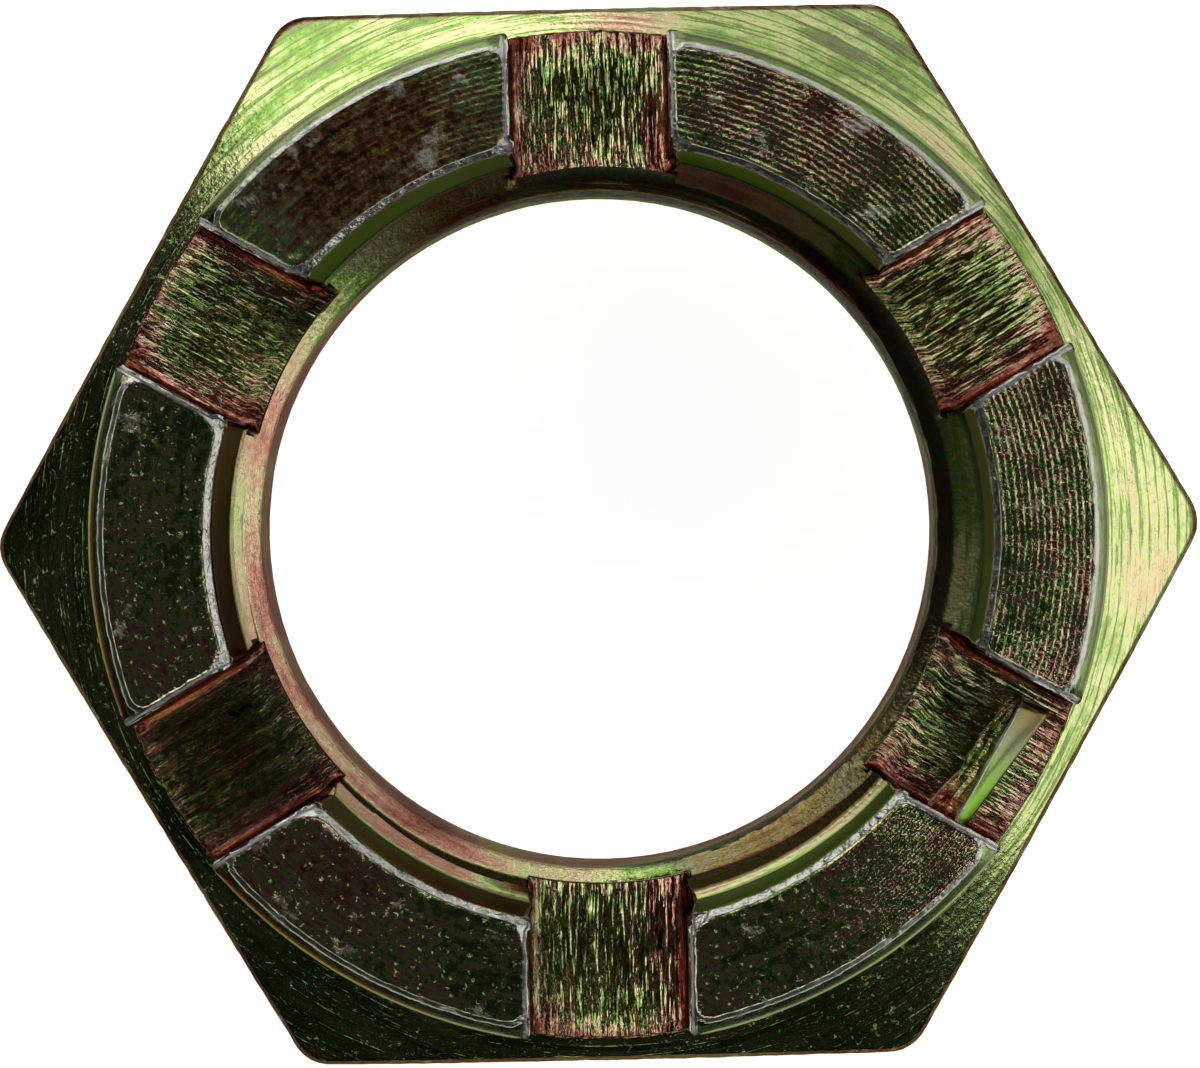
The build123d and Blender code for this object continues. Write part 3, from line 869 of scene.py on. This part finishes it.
def fine_relief(tree, here, noise, bare):
    """The height of what is too fine for the mesh: specks, beads, pits, streaks, ridges and scores."""
    even = add(tree, "ShaderNodeVectorMath", {0: here["place"], 3: 5.5 / MM}, operation="SCALE")
    drawn_out = add(tree, "ShaderNodeMapping", {"Vector": here["grain"], "Scale": (2.2, 1.0, 7.0)})
    speck = add(tree, "ShaderNodeMix", {"Factor": here["broached"], 4: even, 5: drawn_out},
                data_type="VECTOR")
    speck = add(tree, "ShaderNodeTexNoise", {"Vector": speck.outputs[1], "Scale": 1.0, "Detail": 3.0,
                                             "Roughness": 0.65}).outputs[0]
    relief = speck
    for factor in (here["lively"], total(tree, here, GRAIN)):
        relief = add(tree, "ShaderNodeMath", {0: relief, 1: factor}, operation="MULTIPLY")
    beads = add(tree, "ShaderNodeMath", {0: noise["beads"], 1: bare}, operation="MULTIPLY")
    bead_height = add(tree, "ShaderNodeMath", {0: here["rim"], 1: 0.06, 2: 0.04}, operation="MULTIPLY_ADD")
    pits = add(tree, "ShaderNodeMapRange", {"Value": noise["pits"], "From Min": 0.62, "From Max": 0.74})
    pitted = add(tree, "ShaderNodeMath", {0: here["turned"], 1: 0.5, 2: here["faced"]},
                 operation="MULTIPLY_ADD")
    pits = add(tree, "ShaderNodeMath", {0: pits, 1: pitted}, operation="MULTIPLY")
    ridges = add(tree, "ShaderNodeMath", {0: here["feed_phase"]}, operation="SINE")
    ridge_height = here["keen"]
    for factor in (here["faced"], RIDGE_HEIGHT):
        ridge_height = add(tree, "ShaderNodeMath", {0: ridge_height, 1: factor}, operation="MULTIPLY")
    for pattern, height in ((beads, bead_height), (pits, PIT_DEPTH),
                            (noise["fine"], total(tree, here, STREAKS)), (ridges, ridge_height),
                            (here["scores"], SCORE_DEPTH)):
        relief = add(tree, "ShaderNodeMath", {0: pattern, 1: height, 2: relief}, operation="MULTIPLY_ADD")
    return relief


# %% Ripples on the slot floors
# The broach left ripples across its path. They lean outward in four slots and inward in the two at 210
# and 270 degrees, as the light in the photograph shows, and are steeper towards a slot's ends.
LEANS_TO = (0.5, 0.866, 0)
LEAN_INWARD = -0.6
LEAN = (0.04, 0.02)
STEEPNESS = (1.8, 3.2)


def rippled_normal(tree, here, noise):
    """The surface's normal, tipped along the slots by the ripples that the broach left."""
    outward = add(tree, "ShaderNodeVectorMath", {0: here["place"], 1: (1, 1, 0)}, operation="MULTIPLY")
    outward = add(tree, "ShaderNodeVectorMath", {0: outward}, operation="NORMALIZE")
    side = side_share(tree, outward, LEANS_TO, -0.6, -0.3, **{"To Min": LEAN_INWARD})
    lean = add(tree, "ShaderNodeMath", {0: here["ends"], 1: LEAN[0], 2: LEAN[1]}, operation="MULTIPLY_ADD")
    lean = add(tree, "ShaderNodeMath", {0: lean, 1: side}, operation="MULTIPLY")
    ripple = add(tree, "ShaderNodeMath", {0: noise["chatter"], 1: lean}, operation="ADD")
    ripple = add(tree, "ShaderNodeMath", {0: ripple, 1: 0.5}, operation="SUBTRACT")
    steepness = add(tree, "ShaderNodeMath", {0: here["ends"], 1: STEEPNESS[0], 2: STEEPNESS[1]},
                    operation="MULTIPLY_ADD")
    for factor in (here["broached"], here["lively"], steepness):
        ripple = add(tree, "ShaderNodeMath", {0: ripple, 1: factor}, operation="MULTIPLY")
    tipped = add(tree, "ShaderNodeVectorMath", {0: outward, 3: ripple}, operation="SCALE")
    plain = add(tree, "ShaderNodeNewGeometry").outputs["Normal"]
    tipped = add(tree, "ShaderNodeVectorMath", {0: plain, 1: tipped}, operation="ADD")
    return add(tree, "ShaderNodeVectorMath", {0: tipped}, operation="NORMALIZE")


# %% Yellow chromated zinc
BORE_PAINTED_SHADE = "#4A4A2C"
SCUFF_ROUGHNESS = 0.25
BARE_ROUGHNESS = 0.10


def chromated_zinc(name, depth, edge_tint):
    """Yellow chromate on zinc: a tinted mirror, streaked along the tool marks, grey at worn edges, darkened
    by depth as painted shade.
    """
    made, here, noise = start_finish(name)
    tree = made.node_tree
    slot_shares(tree, here)
    turning_marks(tree, here, noise)
    film, duller = film_thickness(tree, here, noise)
    tint = add(tree, "ShaderNodeValToRGB", {"Fac": film})
    ramp = tint.color_ramp.elements
    while len(ramp) < len(FILM_STOPS):
        ramp.new(0.5)
    for element, (position, key) in zip(ramp, FILM_STOPS):
        element.position = position
        element.color = colour(CHROMATE[key])
    # Painted shade: depth darkens the colour, so that the bore reads darker as if in shade
    deep = add(tree, "ShaderNodeMix", {"Factor": depth, 6: (1, 1, 1, 1), 7: colour(BORE_PAINTED_SHADE)},
               data_type="RGBA")
    tint = add(tree, "ShaderNodeMix", {"Factor": 1.0, 6: tint, 7: deep.outputs[2]}, data_type="RGBA",
               blend_type="MULTIPLY")
    bare, scuff = bare_zinc(tree, here, noise)
    painted = add(tree, "ShaderNodeMix", {"Factor": bare, 6: tint.outputs[2], 7: colour(CHROMATE["zinc"])},
                  data_type="RGBA")
    bump = add(tree, "ShaderNodeBump", {"Height": fine_relief(tree, here, noise, bare), "Strength": 1.0,
                                        "Distance": MM, "Normal": rippled_normal(tree, here, noise)})
    rough = total(tree, here, ROUGH)
    for share, more in ((scuff, SCUFF_ROUGHNESS), (bare, BARE_ROUGHNESS)):
        rough = add(tree, "ShaderNodeMath", {0: share, 1: more, 2: rough}, operation="MULTIPLY_ADD")
    rough = add(tree, "ShaderNodeMath", {0: rough, 1: duller}, operation="ADD")
    shader = add(tree, "ShaderNodeBsdfPrincipled", {
        "Base Color": painted.outputs[2], "Metallic": 1.0, "Roughness": rough, "Normal": bump,
        "Specular Tint": colour(edge_tint)})
    add(tree, "ShaderNodeOutputMaterial", {"Surface": shader})
    return made


plating = chromated_zinc("yellow_chromated_zinc_on_turned_steel", 0.0, "#44443A")
# The bore's finish carries painted shade: its colour is darkened all over
bore_plating = chromated_zinc("yellow_chromated_zinc_in_the_bore", 0.30, "#6C6C58")
print("nodes in the plating", len(plating.node_tree.nodes))


# %% Run the tree and keep its result as a plain mesh
def settle(thing, tree, identifiers, values):
    """Gives the modifier its inputs, evaluates it once, and keeps the result as a plain mesh."""
    modifier = thing.modifiers.new("maker", "NODES")
    modifier.node_group = tree
    for label, value in values.items():
        modifier[identifiers[label]] = value
    bpy.context.view_layer.update()
    graph = bpy.context.evaluated_depsgraph_get()
    result = bpy.data.meshes.new_from_object(thing.evaluated_get(graph), depsgraph=graph)
    thing.modifiers.clear()
    thing.data = result
    result.name = thing.name
    print(thing.name, "triangles", sum(len(p.vertices) - 2 for p in result.polygons))
    return thing


nut_body = settle(sector, body_tree, body_socket, {
    "Sides": SIDES, "Weld Distance": 0.002 * MM, "Feed": 0.20, "Facing Depth": 0.006 * MM,
    "Shoulder Depth": 0.004 * MM, "Broach Depth": 0.09 * MM, "Tear Depth": 0.22 * MM,
    "Dent Depth": 0.14 * MM, "Bore Offset": BORE_OFFSET, "Foot Offset": FOOT_OFFSET,
    "Lip Wear": 0.28 * MM, "Rim Offset": RIM_OFFSET, "Seed": 3.0, "Finish": plating,
    "Bore Finish": bore_plating})

# %% [markdown]
# ## The thread
# A tap has cut a right-hand M22 x 1.5 thread into the bore. What it leaves standing is one ridge that
# climbs the wall as a spiral, so a spiral curve with a trapezium swept along it gives the real form.
# The countersink at the mouth and the slot floors cut the ridge off, and the tree does the same: no
# point may stand inside the countersink's cone or above a slot's floor.

# %% Thread ridge: the spiral and its section
THREAD_INPUTS = {
    "Pitch": "Float", "Turns": "Float", "Root Radius": "Float", "Crest Radius": "Float",
    "Crest Width": "Float", "Crest Lean": "Float", "Start Angle": "Float", "Start Height": "Float",
    "Cone Foot": "Float", "Cone Level": "Float", "Floor Height": "Float", "Slot Half": "Float",
    "Roughness": "Float", "Centre": "Vector", "Steps": "Int", "Cuts": "Int", "Finish": "Material"}
thread_tree, given, thread_socket = tree_with_inputs("thread_ridge_spiral", THREAD_INPUTS)
tree = thread_tree

mean = add(tree, "ShaderNodeMath", {0: given["Root Radius"], 1: given["Crest Radius"]}, operation="ADD")
mean = add(tree, "ShaderNodeMath", {0: mean, 1: 0.5}, operation="MULTIPLY")
rise = add(tree, "ShaderNodeMath", {0: given["Pitch"], 1: given["Turns"]}, operation="MULTIPLY")
spiral = add(tree, "GeometryNodeCurveSpiral", {"Resolution": given["Steps"], "Rotations": given["Turns"],
                                               "Start Radius": mean, "End Radius": mean, "Height": rise,
                                               "Reverse": True})
upright = add(tree, "GeometryNodeSetCurveNormal", {"Curve": spiral}, mode="Z_UP")
deep = add(tree, "ShaderNodeMath", {0: given["Root Radius"], 1: given["Crest Radius"]}, operation="SUBTRACT")
spread = add(tree, "ShaderNodeMath", {0: deep, 1: 2 * math.tan(math.radians(30)), 2: given["Crest Width"]},
             operation="MULTIPLY_ADD")
profile = add(tree, "GeometryNodeCurvePrimitiveQuadrilateral",
              {"Bottom Width": spread, "Top Width": given["Crest Width"], "Offset": 0.0, "Height": deep},
              mode="TRAPEZOID")
profile = add(tree, "GeometryNodeSubdivideCurve", {"Curve": profile, "Cuts": given["Cuts"]})
profile = add(tree, "GeometryNodeTransform", {"Geometry": profile, "Rotation": (0, 0, math.pi / 2)})

# The crest leans: its upper edge stands a little further from the axis than its lower one
position = add(tree, "GeometryNodeInputPosition")
at = add(tree, "ShaderNodeSeparateXYZ", {0: position}).outputs
inner_part = add(tree, "ShaderNodeMath", {0: deep, 1: -0.49}, operation="MULTIPLY")
on_crest = add(tree, "ShaderNodeMath", {0: at["X"], 1: inner_part}, operation="LESS_THAN")
half_crest = add(tree, "ShaderNodeMath", {0: given["Crest Width"], 1: 0.5}, operation="MULTIPLY")
up_crest = add(tree, "ShaderNodeMath", {0: half_crest, 1: at["Y"]}, operation="SUBTRACT")
lean = add(tree, "ShaderNodeMath", {0: up_crest, 1: given["Crest Lean"]}, operation="MULTIPLY")
lean = add(tree, "ShaderNodeCombineXYZ", {"X": lean})
profile = add(tree, "GeometryNodeSetPosition", {"Geometry": profile, "Selection": on_crest, "Offset": lean})
swept = add(tree, "GeometryNodeCurveToMesh", {"Curve": upright, "Profile Curve": profile, "Fill Caps": True})
where = add(tree, "ShaderNodeCombineXYZ", {"Z": given["Start Height"]})
facing = add(tree, "ShaderNodeCombineXYZ", {"Z": given["Start Angle"]})
placed = add(tree, "GeometryNodeTransform", {"Geometry": swept, "Translation": where, "Rotation": facing})

# %% Where the slots' floors and the two countersinks cut the ridge
LOWER_CONE_SLOPE = -math.tan(math.radians(60))

flat = add(tree, "ShaderNodeCombineXYZ", {"X": at["X"], "Y": at["Y"]})
radius = add(tree, "ShaderNodeVectorMath", {0: flat}, operation="LENGTH").outputs["Value"]
bearing = add(tree, "ShaderNodeMath", {0: at["Y"], 1: at["X"]}, operation="ARCTAN2")
folded = add(tree, "ShaderNodeMath", {0: bearing, 1: 2 * HALF_SECTOR}, operation="FLOORED_MODULO")
folded = add(tree, "ShaderNodeMath", {0: folded, 1: HALF_SECTOR}, operation="SUBTRACT")
sideways = add(tree, "ShaderNodeMath", {0: folded}, operation="SINE")
sideways = add(tree, "ShaderNodeMath", {0: sideways, 1: radius}, operation="MULTIPLY")
sideways = add(tree, "ShaderNodeMath", {0: sideways}, operation="ABSOLUTE")
in_a_slot = add(tree, "ShaderNodeMath", {0: sideways, 1: given["Slot Half"]}, operation="LESS_THAN")
cut = add(tree, "ShaderNodeMath", {0: at["Z"], 1: given["Floor Height"]}, operation="MINIMUM")
level = add(tree, "ShaderNodeMix", {"Factor": in_a_slot, 2: at["Z"], 3: cut})
level = add(tree, "ShaderNodeMath", {0: level, 1: 0.02 * MM}, operation="MAXIMUM")
upper_cone = add(tree, "ShaderNodeMath", {0: level, 1: given["Cone Level"]}, operation="SUBTRACT")
upper_cone = add(tree, "ShaderNodeMath", {0: upper_cone, 1: 1 / SLOPE, 2: given["Cone Foot"]},
                 operation="MULTIPLY_ADD")
lower_cone = add(tree, "ShaderNodeMath", {0: at["Z"], 1: LOWER_CONE_SLOPE, 2: BEARING_MOUTH * MM},
                 operation="MULTIPLY_ADD")

# What stood over a slot's floor is laid into the wall, further out the higher it stood
over_floor = add(tree, "ShaderNodeMath", {0: at["Z"], 1: given["Floor Height"]}, operation="SUBTRACT")
is_over = add(tree, "ShaderNodeMath", {0: over_floor, 1: 0.0}, operation="GREATER_THAN")
is_over = add(tree, "ShaderNodeMath", {0: is_over, 1: in_a_slot}, operation="MULTIPLY")
over_floor = add(tree, "ShaderNodeMath", {0: over_floor, 1: given["Cone Foot"]}, operation="ADD")
over_floor = add(tree, "ShaderNodeMath", {0: over_floor, 1: is_over}, operation="MULTIPLY")
limit = upper_cone
for other in (lower_cone, over_floor):
    limit = add(tree, "ShaderNodeMath", {0: limit, 1: other}, operation="MAXIMUM")
ragged = add(tree, "ShaderNodeTexNoise", {"Scale": 0.8 / MM, "Detail": 5.0, "Roughness": 0.7})
ragged = add(tree, "ShaderNodeMath", {0: ragged.outputs[0], 1: 0.5}, operation="SUBTRACT")
ragged = add(tree, "ShaderNodeMath", {0: ragged, 1: given["Roughness"]}, operation="MULTIPLY")
ragged = add(tree, "ShaderNodeMath", {0: radius, 1: ragged}, operation="ADD")
new_radius = add(tree, "ShaderNodeMath", {0: ragged, 1: limit}, operation="MAXIMUM")
scale = add(tree, "ShaderNodeMath", {0: new_radius, 1: radius}, operation="DIVIDE")
moved = add(tree, "ShaderNodeVectorMath", {0: flat, 3: scale}, operation="SCALE")
outward = add(tree, "ShaderNodeVectorMath", {0: moved}, operation="NORMALIZE")
lifted = add(tree, "ShaderNodeCombineXYZ", {"Z": level})
for more in (lifted, given["Centre"]):
    moved = add(tree, "ShaderNodeVectorMath", {0: moved, 1: more}, operation="ADD")

# %% Marks that the plating reads on the ridge
around = add(tree, "ShaderNodeVectorMath", {0: outward, 3: GRAIN_ROUND}, operation="SCALE")
radius_mm = add(tree, "ShaderNodeMath", {0: radius, 1: 1 / MM}, operation="MULTIPLY")
across = add(tree, "ShaderNodeCombineXYZ", {"Z": radius_mm})
grain = add(tree, "ShaderNodeVectorMath", {0: around, 1: across}, operation="ADD")
marked = add(tree, "GeometryNodeStoreNamedAttribute", {"Geometry": placed, "Name": "grain", "Value": grain},
             data_type="FLOAT_VECTOR", domain="POINT")

# Where the countersink cut the ridge it shows the cone's finish, but not where the root runs out.
# Near the root the ridge gets painted shade, which darkens its colour.
cut_here = add(tree, "ShaderNodeMath", {0: limit, 1: ragged}, operation="GREATER_THAN")
far_out = add(tree, "ShaderNodeMapRange", {"Value": new_radius, "From Min": 10.70 * MM,
                                           "From Max": 10.82 * MM})
run_out_and_shade = side_share(tree, outward, ROOT_SHADE_SIDE, *ROOT_SHADE_FADE, **{"To Min": 1.0, "To Max": 0.0})
on_cone = cut_here
for factor in (far_out, run_out_and_shade):
    on_cone = add(tree, "ShaderNodeMath", {0: on_cone, 1: factor}, operation="MULTIPLY")
off_cone = add(tree, "ShaderNodeMath", {0: 1.0, 1: on_cone}, operation="SUBTRACT")
# Painted shade near the thread's root
ridge_root_shade = add(tree, "ShaderNodeMapRange", {"Value": radius_mm, "From Min": 10.81, "From Max": 10.90})
ridge_root_shade = add(tree, "ShaderNodeMath", {0: ridge_root_shade, 1: off_cone}, operation="MULTIPLY")
marks = {"threaded": off_cone, "tapped": on_cone, "lively": 1.0, "root_painted_shade": ridge_root_shade}
for name, value in marks.items():
    marked = add(tree, "GeometryNodeStoreNamedAttribute",
                 {"Geometry": marked, "Name": name, "Value": value}, data_type="FLOAT", domain="POINT")
trimmed = add(tree, "GeometryNodeSetPosition", {"Geometry": marked, "Position": moved})
add(tree, "NodeGroupOutput", {0: finished(tree, trimmed, 40, given["Finish"])})

# %% Two stretches of the ridge: a plain one deep in the bore, and a finer one where it is seen
THREAD_PITCH = 1.5
RIDGE_ROOT = 11.15
CREST_WIDTH = 0.446
CREST_LEAN = 0.12
RIDGE_START_ANGLE = math.radians(180)
RIDGE_START_HEIGHT = -0.79
RIDGE_TURNS = 8.45
DEEP_TURNS = 6


def thread_stretch(name, turns_below, turns, steps, cuts):
    """Makes one stretch of the ridge, which starts some turns above the ridge's lower end."""
    return settle(put(name, bpy.data.meshes.new(name)), thread_tree, thread_socket, {
        "Pitch": THREAD_PITCH * MM, "Turns": turns, "Root Radius": RIDGE_ROOT * MM,
        "Crest Radius": CREST_RADIUS * MM, "Crest Width": CREST_WIDTH * MM, "Crest Lean": CREST_LEAN,
        "Start Angle": RIDGE_START_ANGLE,
        "Start Height": (RIDGE_START_HEIGHT + turns_below * THREAD_PITCH) * MM,
        "Cone Foot": (ROOT_RADIUS + 0.02) * MM, "Cone Level": ROOT_HEIGHT * MM,
        "Floor Height": (SLOT_FLOOR - 0.01) * MM, "Slot Half": SLOT_HALF * MM,
        "Roughness": 0.03 * MM, "Centre": BORE_OFFSET, "Steps": steps, "Cuts": cuts, "Finish": plating})


thread_deep = thread_stretch("thread_ridge_deep", 0, DEEP_TURNS, 96, 2)
thread_top = thread_stretch("thread_ridge_top", DEEP_TURNS, RIDGE_TURNS - DEEP_TURNS, 420, 10)

# %% [markdown]
# ## The burr
# One slot has a sliver of the crown's skin standing across it, which the cutter pushed over and did not
# take off. It is fast to the slot's clockwise wall and to the floor, and thins towards its free end. Its
# outer face is the crown's own smooth skin. Its inner face is where the metal tore, so that side gets
# ledges and roughness. It is small and irregular, so a lofted grid with seeded noise makes it.

# %% Section of the burr, from its root at the wall to its tip
BURR_SLOT = math.radians(330.0)
BURR_STATIONS = 44
BURR_ROOT = {"v": -2.55, "foot": 12.5, "ridge": 13.64, "back": 13.98, "height": 1.8, "drop": 0.75}
BURR_TIP = {"v": 1.85, "foot": 13.44, "ridge": 13.66, "back": 14.60, "height": 0.95, "drop": 0.5}
BURR_SUNK = 0.15
INNER_STEPS = 14
SKIN_STEPS = 8

random = np.random.default_rng(12)


def wobble(size, step, depth):
    """Smooth random numbers along a line: random knots every few places, joined by a curve."""
    knots = random.normal(0, depth, size // step + 3)
    places = np.arange(size) / step
    low = places.astype(int)
    blend = places - low
    blend = blend * blend * (3 - 2 * blend)
    return knots[low] * (1 - blend) + knots[low + 1] * blend


share = np.linspace(0, 1, BURR_STATIONS)
burr = {key: BURR_ROOT[key] + (BURR_TIP[key] - BURR_ROOT[key]) * share for key in BURR_ROOT}
burr["foot"] += 0.10 * np.sin(share * 5) + wobble(BURR_STATIONS, 4, 0.03)
burr["height"] += wobble(BURR_STATIONS, 5, 0.04)
ledges = np.stack([wobble(BURR_STATIONS, 3, 0.06) for _ in range(INNER_STEPS + 1)], axis=1)
line = []
for k in range(INNER_STEPS + 1):
    t = k / INNER_STEPS
    stepped = t + 0.05 * math.sin(t * 15)
    rough = ledges[:, k] * math.sin(math.pi * min(1, t * 1.05)) ** 0.5
    line.append((burr["foot"] + (burr["ridge"] - burr["foot"]) * t - rough * 0.6,
                 SLOT_FLOOR - BURR_SUNK + (burr["height"] + BURR_SUNK) * stepped + rough))
for t in np.arange(1, SKIN_STEPS + 1) / SKIN_STEPS:
    line.append((burr["ridge"] + (burr["back"] - burr["ridge"]) * t,
                 SLOT_FLOOR + burr["height"] - burr["drop"] * t ** 1.6))
skin_foot = line[-1][1]
for part in (0.4, -0.15):
    line.append((burr["back"], np.minimum(SLOT_FLOOR + part * burr["height"], skin_foot - 0.01)))

# %% The burr as a mesh
u = np.stack([p[0] for p in line], axis=1)
z = np.stack([p[1] for p in line], axis=1)
v = np.broadcast_to(burr["v"][:, None], u.shape).copy()
v[-1] += 0.12 * np.sin(np.linspace(0, 7, u.shape[1]))
round_end = 1 - 0.55 * np.clip((share - 0.94) / 0.06, 0, 1) ** 2
z = SLOT_FLOOR - BURR_SUNK + (z - SLOT_FLOOR + BURR_SUNK) * round_end[:, None]
x = u * math.cos(BURR_SLOT) - v * math.sin(BURR_SLOT)
y = u * math.sin(BURR_SLOT) + v * math.cos(BURR_SLOT)
index = np.arange(u.size).reshape(u.shape)
after = np.roll(index, -1, axis=1)
quads = np.stack([index[:-1], after[:-1], after[1:], index[1:]], axis=-1).reshape(-1, 4).tolist()
mesh = grid_mesh("slot_burr", x, y, z, quads + [index[0][::-1].tolist(), index[-1].tolist()])
place = np.arange(u.shape[1])
torn = np.broadcast_to(np.where(place < INNER_STEPS, 1.0, 0.0), u.shape)
edge = np.clip(1 - np.abs(place - INNER_STEPS) / 1.5, 0, 1)
worn = np.broadcast_to(np.maximum(edge, np.where(place < 2, 0.9, 0.0)), u.shape)
for name, values in (("torn", torn), ("broached", torn), ("rolled", 1 - torn), ("worn", worn),
                     ("lively", np.ones(u.shape)), ("grain", np.stack([u, 0 * u + 300.0, v], axis=-1))):
    store(mesh, name, values)
mesh.shade_smooth()
mesh.materials.append(plating)
slot_burr = put("slot_burr", mesh)
print("burr faces", len(mesh.polygons))

# %% [markdown]
# ## The pieces on the body
# Each piece rides on the nut's one body, and the solid's own node is hidden.

# %% Ride and replace
for piece in (nut_body, thread_deep, thread_top, slot_burr):
    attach(piece, "root")
    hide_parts("axle_nut")
